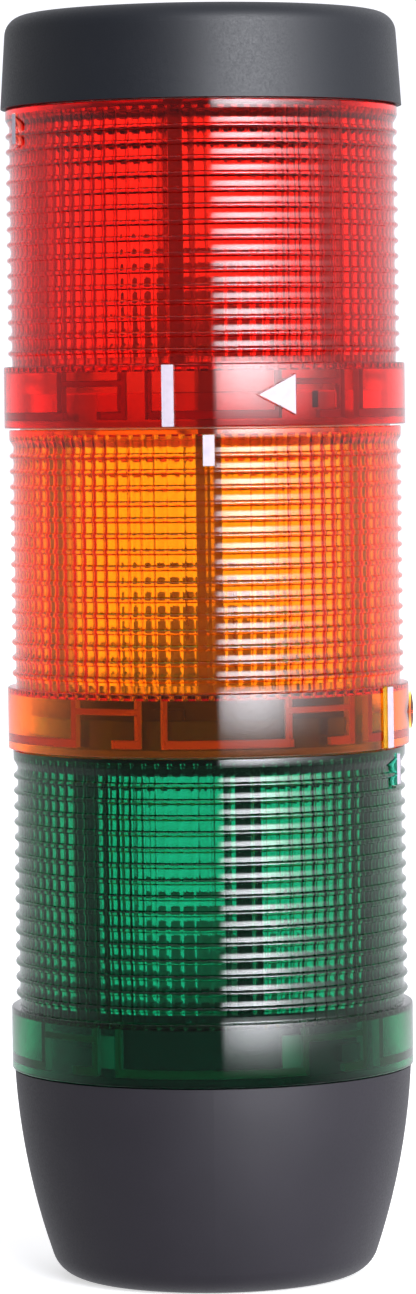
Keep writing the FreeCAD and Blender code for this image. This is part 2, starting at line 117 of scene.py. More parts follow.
def new_material(
    name: str
) -> tuple[bpy.types.Material, bpy.types.NodeTree, bpy.types.NodeSocket]:
    """Start an empty node material.

    Args:
        name: the material's name.

    Returns:
        The material, its node tree and a socket with the object's own coordinates.
    """
    material = bpy.data.materials.new(name)
    material.use_nodes = True
    tree = material.node_tree
    tree.nodes.clear()
    place = add_node(tree, "ShaderNodeTexCoord", {})
    return material, tree, place.outputs["Object"]


@dataclass(frozen=True)
class MouldedPlastic:
    """Opaque thermoplastic from a spark-eroded mould: an even, fine-grained satin skin."""

    name: str
    colour: str
    shade: str                      # darker tone of the faint mottling
    roughness: float = 0.46
    spread: float = 0.06            # of the roughness, to both sides, from grain to grain
    grain_mm: float = 0.35          # really near 0.1 mm, and drawn coarser so that it shows
    grain_depth_mm: float = 0.012
    mottle_mm: float = 9.0          # slow colour drift from the melt's flow
    ior: float = 1.5

    def material(self) -> bpy.types.Material:
        """Build the material.

        Returns:
            The new material.
        """
        material, tree, place = new_material(self.name)
        mottle = add_node(
            tree, "ShaderNodeTexNoise",
            {"Scale": grain_scale(self.mottle_mm), "Detail": 3.0}, {"Vector": place},
        )
        tone = add_node(
            tree, "ShaderNodeMix",
            {"data_type": "RGBA", COLOUR_A: linear(self.colour), COLOUR_B: linear(self.shade)},
            {MIX_SHARE: mottle.outputs["Fac"]},
        )
        grain = add_node(
            tree, "ShaderNodeTexNoise",
            {"Scale": grain_scale(self.grain_mm), "Detail": 2.0}, {"Vector": place},
        )
        rough = add_node(
            tree, "ShaderNodeMapRange",
            {"From Min": NOISE_RANGE[0], "From Max": NOISE_RANGE[1],
             "To Min": self.roughness - self.spread, "To Max": self.roughness + self.spread},
            {"Value": grain.outputs["Fac"]},
        )
        bump = add_node(
            tree, "ShaderNodeBump", {"Strength": 0.6, "Distance": self.grain_depth_mm * MM},
            {"Height": grain.outputs["Fac"]},
        )
        shader = add_node(
            tree, "ShaderNodeBsdfPrincipled", {"IOR": self.ior},
            {"Base Color": tone.outputs[COLOUR_MIXED], "Roughness": rough.outputs[0],
             "Normal": bump.outputs[0]},
        )
        add_node(tree, "ShaderNodeOutputMaterial", {}, {"Surface": shader.outputs[0]})
        return material


class Skin(Enum):
    """How the mould left a face of a clear moulding."""

    POLISHED = 0.0
    SATIN = 0.5
    ERODED = 1.0


@dataclass(frozen=True)
class ClearPolycarbonate:
    """Tinted clear polycarbonate: deeper in colour where it is thick, glossy on its outside."""

    name: str
    tint: str                       # colour that is left after the depth below
    depth_mm: float                 # path through the moulding that gives the tint
    roughness: float = 0.035        # of the polished outside
    satin: float = 0.15             # of the bore's flutes, which blur what lies behind them
    eroded: float = 0.3             # of the bayonet ribs, which catch the light
    frost: float = 0.8              # share of the light that the eroded skin scatters
    drift: Span = (0.7, 1.4)        # factors of the roughness, from the melt's flow
    flow_mm: float = 14.0           # size of the drift
    ripple_mm: float = 5.0          # faint waviness of the moulded skin
    ripple_depth_mm: float = 0.02
    ior: float = 1.585

    def material(self) -> bpy.types.Material:
        """Build the material.

        Returns:
            The new material.
        """
        material, tree, place = new_material(self.name)
        skin_kind = add_node(tree, "ShaderNodeAttribute", {"attribute_name": "skin"})
        duller = add_node(tree, "ShaderNodeValToRGB", {}, {"Fac": skin_kind.outputs["Fac"]})
        ramp = duller.color_ramp.elements
        ramp.new(Skin.SATIN.value)
        for stop, rough in zip(ramp, (self.roughness, self.satin, self.eroded)):
            stop.color = (rough,) * 3 + (1.0,)
        flow = add_node(
            tree, "ShaderNodeTexNoise",
            {"Scale": grain_scale(self.flow_mm), "Detail": 2.0}, {"Vector": place},
        )
        drift = add_node(
            tree, "ShaderNodeMapRange", {"To Min": self.drift[0], "To Max": self.drift[1]},
            {"Value": flow.outputs["Fac"]},
        )
        rough = add_node(
            tree, "ShaderNodeMath", {"operation": "MULTIPLY"},
            {0: duller.outputs["Color"], 1: drift.outputs[0]},
        )
        ripple = add_node(
            tree, "ShaderNodeTexNoise",
            {"Scale": grain_scale(self.ripple_mm), "Detail": 1.0}, {"Vector": place},
        )
        bump = add_node(
            tree, "ShaderNodeBump", {"Strength": 0.3, "Distance": self.ripple_depth_mm * MM},
            {"Height": ripple.outputs["Fac"]},
        )
        shader = add_node(
            tree, "ShaderNodeBsdfPrincipled",
            {"Base Color": linear("FFFFFF"), "IOR": self.ior, "Transmission Weight": 1.0},
            {"Roughness": rough.outputs[0], "Normal": bump.outputs[0]},
        )
        glow = add_node(tree, "ShaderNodeBsdfDiffuse", {"Color": (0.9, 0.9, 0.9, 1.0)})
        frosted = add_node(
            tree, "ShaderNodeMapRange",
            {"From Min": Skin.SATIN.value, "To Min": 0.0, "To Max": self.frost},
            {"Value": skin_kind.outputs["Fac"]},
        )
        surface = add_node(
            tree, "ShaderNodeMixShader", {},
            {0: frosted.outputs[0], 1: shader.outputs[0], 2: glow.outputs[0]},
        )
        left = [max(value, DARKEST) for value in linear(self.tint)[:3]]
        strongest = max(-math.log(value) for value in left)
        clear = tuple(1.0 + math.log(value) / strongest for value in left) + (1.0,)
        body = add_node(
            tree, "ShaderNodeVolumeAbsorption",
            {"Color": clear, "Density": strongest / (self.depth_mm * MM)},
        )
        add_node(
            tree, "ShaderNodeOutputMaterial", {},
            {"Surface": surface.outputs[0], "Volume": body.outputs[0]},
        )
        return material


@dataclass(frozen=True)
class NaturalPlastic:
    """Uncoloured polycarbonate or silicone: light from behind glows softly through it."""

    name: str
    colour: str
    roughness: float = 0.12         # a satin skin
    spread: float = 0.08            # of the roughness, to both sides, from cloud to cloud
    cloud_mm: float = 6.0
    clarity: float = 0.85           # share of the light that passes into it
    ior: float = 1.5

    def material(self) -> bpy.types.Material:
        """Build the material.

        Returns:
            The new material.
        """
        material, tree, place = new_material(self.name)
        cloud = add_node(
            tree, "ShaderNodeTexNoise",
            {"Scale": grain_scale(self.cloud_mm), "Detail": 2.0}, {"Vector": place},
        )
        rough = add_node(
            tree, "ShaderNodeMapRange",
            {"To Min": self.roughness - self.spread, "To Max": self.roughness + self.spread},
            {"Value": cloud.outputs["Fac"]},
        )
        shader = add_node(
            tree, "ShaderNodeBsdfPrincipled",
            {"Base Color": linear(self.colour), "IOR": self.ior,
             "Transmission Weight": self.clarity},
            {"Roughness": rough.outputs[0]},
        )
        add_node(tree, "ShaderNodeOutputMaterial", {}, {"Surface": shader.outputs[0]})
        return material


@dataclass(frozen=True)
class StampedMetal:
    """Sheet or drawn metal with a faint directional grain."""

    name: str
    colour: str
    shade: str
    roughness: float = 0.28
    spread: Span = (-0.08, 0.1)     # of the roughness, over the grain
    grain_mm: float = 0.3
    stretch: float = 0.12           # the grain's scale along the strip, as a share of across

    def material(self) -> bpy.types.Material:
        """Build the material.

        Returns:
            The new material.
        """
        material, tree, place = new_material(self.name)
        stretch = add_node(
            tree, "ShaderNodeMapping", {"Scale": (1.0, 1.0, self.stretch)}, {"Vector": place}
        )
        grain = add_node(
            tree, "ShaderNodeTexNoise",
            {"Scale": grain_scale(self.grain_mm), "Detail": 2.0}, {"Vector": stretch.outputs[0]},
        )
        tone = add_node(
            tree, "ShaderNodeMix",
            {"data_type": "RGBA", COLOUR_A: linear(self.colour), COLOUR_B: linear(self.shade)},
            {MIX_SHARE: grain.outputs["Fac"]},
        )
        smooth, dull = self.spread
        rough = add_node(
            tree, "ShaderNodeMapRange",
            {"To Min": self.roughness + smooth, "To Max": self.roughness + dull},
            {"Value": grain.outputs["Fac"]},
        )
        shader = add_node(
            tree, "ShaderNodeBsdfPrincipled", {"Metallic": 1.0},
            {"Base Color": tone.outputs[COLOUR_MIXED], "Roughness": rough.outputs[0]},
        )
        add_node(tree, "ShaderNodeOutputMaterial", {}, {"Surface": shader.outputs[0]})
        return material


@dataclass(frozen=True)
class BlownGlass:
    """Clear soda-lime glass of the lamp, with the slight waviness of a blown tube."""

    name: str
    tint: str = "F4FAF8"
    roughness: float = 0.02
    wave_mm: float = 6.0
    wave_depth_mm: float = 0.05
    ior: float = 1.52

    def material(self) -> bpy.types.Material:
        """Build the material.

        Returns:
            The new material.
        """
        material, tree, place = new_material(self.name)
        wave = add_node(
            tree, "ShaderNodeTexNoise",
            {"Scale": grain_scale(self.wave_mm), "Detail": 1.0}, {"Vector": place},
        )
        bump = add_node(
            tree, "ShaderNodeBump", {"Strength": 0.2, "Distance": self.wave_depth_mm * MM},
            {"Height": wave.outputs["Fac"]},
        )
        shader = add_node(
            tree, "ShaderNodeBsdfPrincipled",
            {"Base Color": linear(self.tint), "Roughness": self.roughness, "IOR": self.ior,
             "Transmission Weight": 1.0},
            {"Normal": bump.outputs[0]},
        )
        add_node(tree, "ShaderNodeOutputMaterial", {}, {"Surface": shader.outputs[0]})
        return material


@dataclass(frozen=True)
class MattPaper:
    """Plain matt paper under the stack, which glows a little to even out its shadows."""

    name: str
    colour: str
    roughness: float = 0.9
    glow: float = 0.6

    def material(self) -> bpy.types.Material:
        """Build the material.

        Returns:
            The new material.
        """
        material, tree, _ = new_material(self.name)
        shader = add_node(
            tree, "ShaderNodeBsdfPrincipled",
            {"Base Color": linear(self.colour), "Roughness": self.roughness,
             "Emission Color": linear("FFFFFF"), "Emission Strength": self.glow},
        )
        add_node(tree, "ShaderNodeOutputMaterial", {}, {"Surface": shader.outputs[0]})
        return material


Finish = (
    MouldedPlastic | ClearPolycarbonate | NaturalPlastic | StampedMetal | BlownGlass | MattPaper
)

FINISHES: dict[str, Finish] = {
    # ABS from an eroded mould: near black, with one broad and soft highlight
    "base": MouldedPlastic("base_abs_spark_eroded", "232027", "1C1A20", roughness=0.5),
    "cap": MouldedPlastic("cap_abs_spark_eroded", "12151C", "0E1117", roughness=0.5),
    # moulded PBT: black or ivory, a little smoother than the housings
    "dark_carrier": MouldedPlastic("carrier_pbt_black", "1C1817", "141110", roughness=0.4),
    "socket": MouldedPlastic("socket_pbt_moulded", "E4E1D8", "D8D4C8", roughness=0.5),
    # moulded nylon: a pale grey, a little waxy
    "terminal": MouldedPlastic("terminal_pa66_moulded", "DCDCD2", "CFCFC4", roughness=0.42),
    # uncoloured plastics: they pass the light of the backdrop on, so they look pale
    "light_carrier": NaturalPlastic("carrier_polycarbonate_natural", "F6F4EE"),
    "silicone": NaturalPlastic("seal_silicone_moulded", "EFEFEA", ior=1.42),
    # moulded EPDM: dull and black
    "rubber": MouldedPlastic(
        "seal_epdm_moulded", "141414", "0E0E0E", roughness=0.7, grain_mm=0.5
    ),
    # hot-stamped foil: a thin greyish white with worn flecks
    "foil": MouldedPlastic(
        "marks_hot_stamped_foil", "B6ACB8", "9C929E", roughness=0.5, grain_mm=0.3, mottle_mm=1.2
    ),
    # stamped and drawn brass, and bright zinc plate: metals with soft or clearer reflections
    "brass": StampedMetal("contacts_brass_stamped", "DDBE7C", "CBA862", roughness=0.5),
    "lamp_brass": StampedMetal("lamp_cap_brass_drawn", "D0AC66", "B99550", roughness=0.22),
    "zinc": StampedMetal("screws_steel_zinc_plated", "B9BABB", "A2A4A6", roughness=0.3),
    # blown glass: nearly colourless, seen by its edges
    "glass": BlownGlass("lamp_glass_blown"),
    # tinted polycarbonate: a clear, deep colour with sharp reflections on the outside
    "green": ClearPolycarbonate("green_lens_polycarbonate", "088A5C", 5.0),
    "amber": ClearPolycarbonate("amber_lens_polycarbonate", "FF8402", 5.0),
    "red": ClearPolycarbonate("red_lens_polycarbonate", "EC1A0C", 5.0),
    # paper: a plain, shadow-soft pale grey
    "paper": MattPaper("floor_matt_paper", "E4E4E4"),
}


class Workshop:
    """Makes each finish once and puts it on objects."""

    def __init__(self) -> None:
        """Start with no material made."""
        self.made: dict[str, bpy.types.Material] = {}

    def finish(self, key: str) -> bpy.types.Material:
        """Material of a finish, made at its first use.

        Args:
            key: the finish's name in FINISHES.

        Returns:
            The material.
        """
        if key not in self.made:
            self.made[key] = FINISHES[key].material()
        return self.made[key]

    def dress(self, obj: bpy.types.Object, key: str) -> None:
        """Put one finish on the whole of an object.

        Args:
            obj: the object.
            key: the finish's name in FINISHES.
        """
        obj.data.materials.clear()
        obj.data.materials.append(self.finish(key))
        log.info("%s: %s", obj.name, FINISHES[key].name)


# ---------------------------------------------------------------- mesh tools

THINNEST = 1e-3     # millimetres, which keeps the tip of a pointed plate from closing up


def ring_points(radii: np.ndarray | float, heights: np.ndarray | float, columns: int) -> Loop:
    """Closed ring of points, in millimetres, whose angle runs from the front towards +X.

    Args:
        radii: one radius for the ring, or one for each column.
        heights: one height for the ring, or one for each column.
        columns: number of points.

    Returns:
        The points as rows.
    """
    turn = np.arange(columns) * (2 * math.pi / columns)
    radii = np.broadcast_to(radii, columns)
    heights = np.broadcast_to(heights, columns)
    return np.column_stack([radii * np.sin(turn), -radii * np.cos(turn), heights])


def join_loops(loops: Sequence[Loop]) -> tuple[np.ndarray, list[Face]]:
    """Faces between rings of points, of which the last one joins the first.

    Neighbouring rings have as many columns, or one has a multiple of the other's.

    Args:
        loops: the rings, in order round the section.

    Returns:
        All points, and the faces as rows of point numbers.
    """
    starts = np.cumsum([0] + [len(loop) for loop in loops])
    faces: list[Face] = []
    for low in range(len(loops)):
        high = (low + 1) % len(loops)
        a, b = starts[low], starts[high]
        n, m = len(loops[low]), len(loops[high])
        if n == m:
            faces += [(a + i, a + (i + 1) % n, b + (i + 1) % n, b + i) for i in range(n)]
        elif m > n:
            faces += fan(a, n, b, m, False)
        else:
            faces += fan(b, m, a, n, True)
    return np.vstack(loops), faces


def fan(few: int, n: int, many: int, m: int, flip: bool) -> list[Face]:
    """Faces between a ring of few points and one of a multiple of them.

    Args:
        few: number of the coarse ring's first point.
        n: how many points the coarse ring has.
        many: number of the fine ring's first point.
        m: how many points the fine ring has.
        flip: whether the faces turn the other way.

    Returns:
        The faces.
    """
    step = m // n
    faces = []
    for i in range(n):
        for k in range(step):
            faces.append((few + i, many + (i * step + k + 1) % m, many + i * step + k))
        faces.append((few + i, few + (i + 1) % n, many + (i + 1) * step % m))
    return [face[::-1] for face in faces] if flip else faces


def make_object(name: str, points: np.ndarray, faces: Sequence[Face], body: str,
                crease: float = 35.0) -> bpy.types.Object:
    """Turn points in millimetres into a smooth-shaded object that rides on a body.

    Args:
        name: the object's name.
        points: rows of coordinates.
        faces: rows of point numbers.
        body: body of the frame that the object moves with.
        crease: edges that turn by more degrees than this stay sharp.

    Returns:
        The new object.
    """
    mesh = bpy.data.meshes.new(name)
    mesh.from_pydata((points * MM).tolist(), [], [tuple(face) for face in faces])
    mesh.validate()
    mesh.shade_smooth()
    mesh.set_sharp_from_angle(angle=math.radians(crease))
    obj = bpy.data.objects.new(name, mesh)
    bpy.context.collection.objects.link(obj)
    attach(obj, body)
    log.info("%s: %d faces", name, len(mesh.polygons))
    return obj


def turned_about(points: np.ndarray, degrees: float, lift: float) -> np.ndarray:
    """Points turned about the stack's axis and lifted.

    Args:
        points: rows of coordinates, in millimetres.
        degrees: the turn, from +X towards +Y.
        lift: the rise, in millimetres.

    Returns:
        The new points.
    """
    turn = math.radians(degrees)
    spin = np.array([
        [math.cos(turn), -math.sin(turn), 0],
        [math.sin(turn), math.cos(turn), 0],
        [0, 0, 1],
    ])
    return points @ spin.T + np.array([0, 0, lift])


def rounded(corner: Spot, before: Spot, after: Spot, radius: float, steps: int = 4) -> list[Spot]:
    """Points of a small fillet at a corner of a section.

    Args:
        corner: the sharp corner.
        before: a point on the line that comes in.
        after: a point on the line that goes out.
        radius: the fillet's size, measured along both lines from the corner.
        steps: number of chords.

    Returns:
        The fillet's points, in order.
    """
    c, p, q = (np.array(v, float) for v in (corner, before, after))
    start = c + (p - c) / np.linalg.norm(p - c) * radius
    end = c + (q - c) / np.linalg.norm(q - c) * radius
    share = np.linspace(0, 1, steps + 1)[:, None]
    curve = (1 - share) ** 2 * start + 2 * share * (1 - share) * c + share ** 2 * end
    return [tuple(point) for point in curve]


def curved_plate(half_height: Profile, start: float, end: float, middle: float, r_in: float,
                 r_out: float, strips: int = 12) -> tuple[np.ndarray, list[Face]]:
    """Closed plate that lies on a cylinder.

    Args:
        half_height: half the plate's height for each share of its width, from 0 to 1.
        start: angle of its first edge, in degrees from the front.
        end: angle of its last edge.
        middle: height of its middle.
        r_in: radius of its back.
        r_out: radius of its face.
        strips: number of strips across it.

    Returns:
        Points and faces.
    """
    share = np.linspace(0, 1, strips + 1)
    turn = np.radians(start + (end - start) * share)
    half = np.maximum(half_height(share), THINNEST)
    rows = []
    for radius, sign in ((r_in, -1), (r_out, -1), (r_out, 1), (r_in, 1)):
        height = middle + sign * half
        rows.append(np.column_stack([radius * np.sin(turn), -radius * np.cos(turn), height]))
    n = strips + 1
    faces: list[Face] = []
    for side in range(4):
        a, b = side * n, (side + 1) % 4 * n
        faces += [(a + i, a + i + 1, b + i + 1, b + i) for i in range(strips)]
    faces.append((0, n, 2 * n, 3 * n))
    faces.append((strips, 3 * n + strips, 2 * n + strips, n + strips))
    return np.vstack(rows), faces


# ---------------------------------------------------------------- light modules


@dataclass(frozen=True)
class Mark:
    """One raised mark of a lens, which lies on the ring or on the tube."""

    name: str
    half_height: Profile
    start: float        # angle of its first edge, in degrees from the module's top mark
    end: float          # angle of its last edge
    middle: float       # height of its middle
    face: float         # radius of its face


@dataclass
class LensModule:
    """Coloured moulding of one light module, with its raised and printed marks.

    Sizes are in millimetres, heights are over the parting plane under the module's ring, and
    angles are in degrees from its top mark.
    """

    colour: Colour
    level: int                      # 0 for the lowest module
    base_h: float = 36.0
    pitch: float = 55.6             # from one module's parting plane to the next one's
    first_turn: float = 72.0        # of the lowest module's top mark, from the front
    module_turn: float = -71.0      # from one module's top mark to the next one's
    # locking ring
    ring_r: float = 35.0
    ring_bore: float = 32.6
    ring_h: float = 11.0
    web_z: float = 9.7
    gap: float = 0.3
    # bayonet tracks inside the ring
    stops: tuple[float, ...] = (-109.3, -22.7, 44.5, 113.2, 182.0)
    track_r: float = 31.4
    upright_w: float = 1.6
    frame_start: float = 8.1        # from a stop to the frame beside it
    way_w: float = 20.5             # way in for the next stop's lug
    floor_rib_z: Span = (1.8, 3.0)  # rib under a locked lug and along the frame's foot
    roof_rib_z: Span = (7.4, 8.2)   # rib over the way in
    rib_slope: float = 0.12         # height of the ribs' drafted flanks
    # ribbed tube
    valley_r: float = 33.5
    crest_r: float = 34.2
    tube_bore: float = 31.5
    rib_pitch: float = 2.7
    ribs: int = 15
    ridge_share: float = 0.4        # of each pitch, the convex ridge
    ridge_cut: float = 0.06         # squared share of its height at which the ridge's ellipse ends
    flank_share: float = 0.22       # of a rib's depth, up to where ridge meets hollow scallop
    first_rib_drop: float = 4.5     # from the top plane to the uppermost crest
    tube_foot: float = 0.25         # plain tube over the ring, and least step to a scallop
    flutes: int = 90                # in the bore
    flute_depth: float = 0.38
    flute_run: float = 0.3          # height in which a flute rises out of the bore
    # shoulder, and the collar with its lugs
    shoulder_h: float = 1.7
    shoulder_rise: float = 1.25     # height of the slope under the shoulder
    ledge_h: float = 0.9            # plate between the bore and the collar
    collar_r: float = 31.0
    collar_bore: float = 29.0
    collar_h: float = 6.2
    lug_out: float = 1.2
    lug_play: float = 0.7
    lug_w: float = 7.4
    lug_z: Span = (3.4, 6.2)        # over the top plane
    # edges
    lip_fillet: float = 0.25        # of the ring's lower edge
    ring_fillet: float = 0.35       # of the ring's upper edge
    tube_fillet: float = 0.2        # at the tube's foot and on the shoulder
    slope_fillet: float = 0.15      # under the shoulder's slope
    chamfer: float = 0.15           # of the bores and of the collar's top
    # marks
    mark_raise: float = 0.7
    mark_root: float = 0.4          # how deep a mark goes into the wall
    bar_angle: float = 60.0
    bar_w: float = 2.3
    arrow_angle: float = 90.05
    arrow_size: float = 7.0
    top_mark: tuple[float, float] = (2.2, 5.5)      # width and height
    top_mark_drop: float = 0.9
    top_mark_raise: float = 0.2
    # foil on the marks
    foil_rim: float = 0.14          # bare rim of the mark round it
    foil_sunk: float = 0.02
    foil_raise: float = 0.03
    tip_inset: float = 3.0          # rims between the arrow's tip and the foil's
    tip_half: float = 0.9           # rims of half height that the arrow has at the foil's tip
    # columns of the meshes
    few: int = 180                  # of the round forms
    many: int = 720                 # of the forms that change round the axis

    @property
    def turn(self) -> float:
        """Angle of the module's top mark from the front."""
        return self.first_turn + self.module_turn * self.level

    @property
    def lift(self) -> float:
        """Height of the parting plane under the module."""
        return self.base_h + self.pitch * self.level

    def ridge_profile(self) -> list[Spot]:
        """Section of the ribbed tube's outside, from the ring to the shoulder.

        Returns:
            The section's points.
        """
        depth = self.crest_r - self.valley_r
        half = self.rib_pitch * self.ridge_share / 2
        scallop = self.rib_pitch / 2 - half
        flank = self.flank_share * depth
        edge = math.sqrt(self.ridge_cut)
        across = (-1.0, -0.9, -0.72, -0.45, -0.15, 0.15, 0.45, 0.72, 0.9, 1.0)
        points = [(self.valley_r, self.ring_h + self.tube_foot)]
        for rib in range(self.ribs):
            crest = self.pitch - self.first_rib_drop - self.rib_pitch * (self.ribs - 1 - rib)
            # from the middle of the scallop below up to the ridge's foot
            for u in (-1.0, -0.75, -0.5, -0.25):
                z = crest - half + u * scallop
                if z > self.ring_h + 2 * self.tube_foot:
                    points.append((self.valley_r + flank * (1 + u) ** 2, z))
            # over the ridge, from its lower edge to its upper one
            for u in across:
                round_top = math.sqrt(1 - u * u * (1 - self.ridge_cut)) - edge
                rise = (depth - flank) * round_top / (1 - edge)
                points.append((self.valley_r + flank + rise, crest + u * half))
            # from the ridge up towards the middle of the scallop above
            for u in (0.25, 0.5, 0.75):
                points.append((self.valley_r + flank * (1 - u) ** 2, crest + half + u * scallop))
        foot = (self.valley_r, self.pitch - self.shoulder_h - self.shoulder_rise)
        brow = (self.crest_r, self.pitch - self.shoulder_h)
        points += rounded(foot, points[-1], brow, self.slope_fillet, 2)
        points += rounded(brow, foot, (self.crest_r, self.pitch), self.tube_fillet, 2)
        return points

    def in_sector(self, start: float, width: float) -> np.ndarray:
        """Which of the many columns lie within an angle of the module."""
        angles = np.arange(self.many) * 360.0 / self.many
        return (angles - start) % 360.0 <= width

    def track_mask(self, z: float) -> np.ndarray:
        """Which columns of the ring's bore hold a rib of the bayonet tracks at a height.

        Args:
            z: the height.

        Returns:
            One truth value for each of the many columns.
        """
        floor_low, floor_high = self.floor_rib_z
        roof_low, roof_high = self.roof_rib_z
        mask = np.zeros(self.many, bool)
        for stop, next_stop in zip(self.stops, self.stops[1:] + (self.stops[0] + 360.0,)):
            frame_start, frame_end = stop + self.frame_start, next_stop - self.way_w
            if floor_low <= z:
                for start in (stop, frame_start, frame_end - self.upright_w):
                    mask |= self.in_sector(start, self.upright_w)
            if floor_low <= z <= floor_high:
                mask |= self.in_sector(stop - self.lug_w, self.lug_w)
                mask |= self.in_sector(frame_start, frame_end - frame_start)
            if roof_low <= z <= roof_high:
                mask |= self.in_sector(frame_end, self.way_w)
        return mask

    def outside(self) -> list[Loop]:
        """Rings of the outside, from the ring's lower edge to the top plane.

        Returns:
            The rings, in order.
        """
        lip, rim = (self.ring_r, self.gap), (self.ring_r, self.ring_h)
        foot, brow = (self.valley_r, self.ring_h), (self.crest_r, self.pitch)
        section = rounded(lip, (self.ring_bore, self.gap), rim, self.lip_fillet)
        section += rounded(rim, lip, foot, self.ring_fillet)
        section += rounded(foot, rim, (self.valley_r, self.pitch), self.tube_fillet, 2)
        section += self.ridge_profile()
        section += rounded(
            brow, (self.crest_r, self.ring_h), (self.collar_r, self.pitch), self.tube_fillet, 3
        )
        return [ring_points(r, z, self.few) for r, z in section]

    def collar(self) -> list[Loop]:
        """Rings of the collar with its lugs, from its root over its top into its bore.

        Returns:
            The rings, in order.
        """
        mask = np.zeros(self.many, bool)
        for stop in self.stops:
            start = self.module_turn + stop - self.lug_play - self.lug_w
            mask |= self.in_sector(start, self.lug_w)
        low, high = (self.pitch + z for z in self.lug_z)
        top = self.pitch + self.collar_h
        loops = [
            ring_points(self.collar_r + self.lug_out * lug * mask, z, self.many)
            for z, lug in ((self.pitch, 0), (low, 0), (low, 1), (high, 1))
        ]
        inside = (
            (self.collar_r - self.chamfer, top),
            (self.collar_bore + self.chamfer, top),
            (self.collar_bore, top - self.chamfer),
            (self.collar_bore, self.pitch - self.ledge_h),
        )
        return loops + [ring_points(r, z, self.many) for r, z in inside]

    def bore(self) -> list[Loop]:
        """Rings of the fluted bore, from under the shoulder down to the web.

        Returns:
            The rings, in order.
        """
        flute = (np.arange(self.many) * self.flutes / self.many) % 1.0
        bulge = 4 * flute * (1 - flute)
        radii = self.tube_bore - self.flute_depth * bulge
        ledge = self.pitch - self.ledge_h
        return [
            ring_points(self.tube_bore, ledge, self.many),
            ring_points(radii, ledge - self.flute_run, self.many),
            ring_points(radii, self.web_z + self.flute_run, self.many),
            ring_points(self.tube_bore, self.web_z, self.many),
        ]

    def ring_inside(self) -> list[Loop]:
        """Rings of the ring's bore with its bayonet tracks, from the web down.

        Returns:
            The rings, in order.
        """
        slope = self.rib_slope
        floor_low, floor_high = self.floor_rib_z
        roof_low, roof_high = self.roof_rib_z
        heights = [
            self.web_z, roof_high + slope, roof_high, roof_low, roof_low - slope,
            floor_high + slope, floor_high, floor_low, floor_low - slope, self.gap + self.chamfer,
        ]
        loops = [
            ring_points(np.where(self.track_mask(z), self.track_r, self.ring_bore), z, self.many)
            for z in heights
        ]
        loops.append(ring_points(self.ring_bore + self.chamfer, self.gap, self.many))
        return loops

    def marks(self) -> list[Mark]:
        """The raised marks: bar and arrow on the ring, and the short mark at the top.

        Returns:
            The marks.
        """
        half_bar = math.degrees(self.bar_w / 2 / self.ring_r)
        half_arrow = math.degrees(self.arrow_size / 2 / self.ring_r)
        top_w, top_h = self.top_mark
        half_top = math.degrees(top_w / 2 / self.crest_r)
        bar_half = (self.ring_h - self.gap) / 2
        middle = (self.ring_h + self.gap) / 2
        face = self.ring_r + self.mark_raise
        return [
            Mark("bar", lambda u: np.full_like(u, bar_half), self.bar_angle - half_bar,
                 self.bar_angle + half_bar, middle, face),
            Mark("arrow", lambda u: u * self.arrow_size / 2, self.arrow_angle - half_arrow,
                 self.arrow_angle + half_arrow, middle, face),
            Mark("top_mark", lambda u: np.full_like(u, top_h / 2), -half_top, half_top,
                 self.pitch - self.top_mark_drop - top_h / 2, self.crest_r + self.top_mark_raise),
        ]

    def build(self, shop: Workshop) -> None:
        """Make the moulding and the printed faces of its marks.

        Args:
            shop: where the finishes come from.
        """
        colour = self.colour.value
        points, faces = join_loops(
            self.outside() + self.collar() + self.bore() + self.ring_inside()
        )
        parts, rows, count = [points], list(faces), len(points)
        for mark in self.marks():
            root = mark.face - self.mark_raise - self.mark_root
            plate, plate_faces = curved_plate(
                mark.half_height, mark.start, mark.end, mark.middle, root, mark.face
            )
            parts.append(plate)
            rows += [tuple(i + count for i in row) for row in plate_faces]
            count += len(plate)
            self.print_mark(shop, mark)
        placed = turned_about(np.vstack(parts), self.turn, self.lift)
        lens = make_object(f"{colour}_lens_moulding", placed, rows, colour)
        shop.dress(lens, colour)
        self.mark_skins(lens)
        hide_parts(f"{colour}_lens")

    def mark_skins(self, lens: bpy.types.Object) -> None:
        """Note on each face of the moulding how its mould left it.

        Args:
            lens: the moulding's object, in place.
        """
        near, under_web, over_ledge = 0.05, 0.2, 0.01      # how far a face's centre may stray
        centres = np.array([face.center for face in lens.data.polygons]) / MM
        radius = np.hypot(centres[:, 0], centres[:, 1])
        height = centres[:, 2] - self.lift
        inner = radius < self.ring_bore + near
        inner &= height < self.pitch - self.ledge_h + over_ledge
        tracks = inner & (radius > self.track_r - near) & (radius < self.ring_bore - near)
        tracks &= height < self.web_z - under_web
        kinds = np.full(len(centres), Skin.POLISHED.value, np.float32)
        kinds[inner] = Skin.SATIN.value
        kinds[tracks] = Skin.ERODED.value
        lens.data.attributes.new("skin", "FLOAT", "FACE").data.foreach_set("value", kinds)

    def print_mark(self, shop: Workshop, mark: Mark) -> None:
        """Make the white foil on one mark, a little inside the mark's edges.

        Args:
            shop: where the finishes come from.
            mark: the mark under the foil.
        """
        colour = self.colour.value
        inset = math.degrees(self.foil_rim / self.ring_r)
        first_inset, tip = inset, 0.0
        if mark.name == "arrow":
            first_inset = inset * self.tip_inset
            tip = self.tip_half * self.foil_rim / (self.arrow_size / 2)
        plate, faces = curved_plate(
            lambda u: mark.half_height(tip + u * (1 - tip)) - self.foil_rim,
            mark.start + first_inset, mark.end - inset,
            mark.middle, mark.face - self.foil_sunk, mark.face + self.foil_raise,
        )
        placed = turned_about(plate, self.turn, self.lift)
        foil = make_object(f"{colour}_{mark.name}_foil", placed, faces, colour)
        shop.dress(foil, "foil")


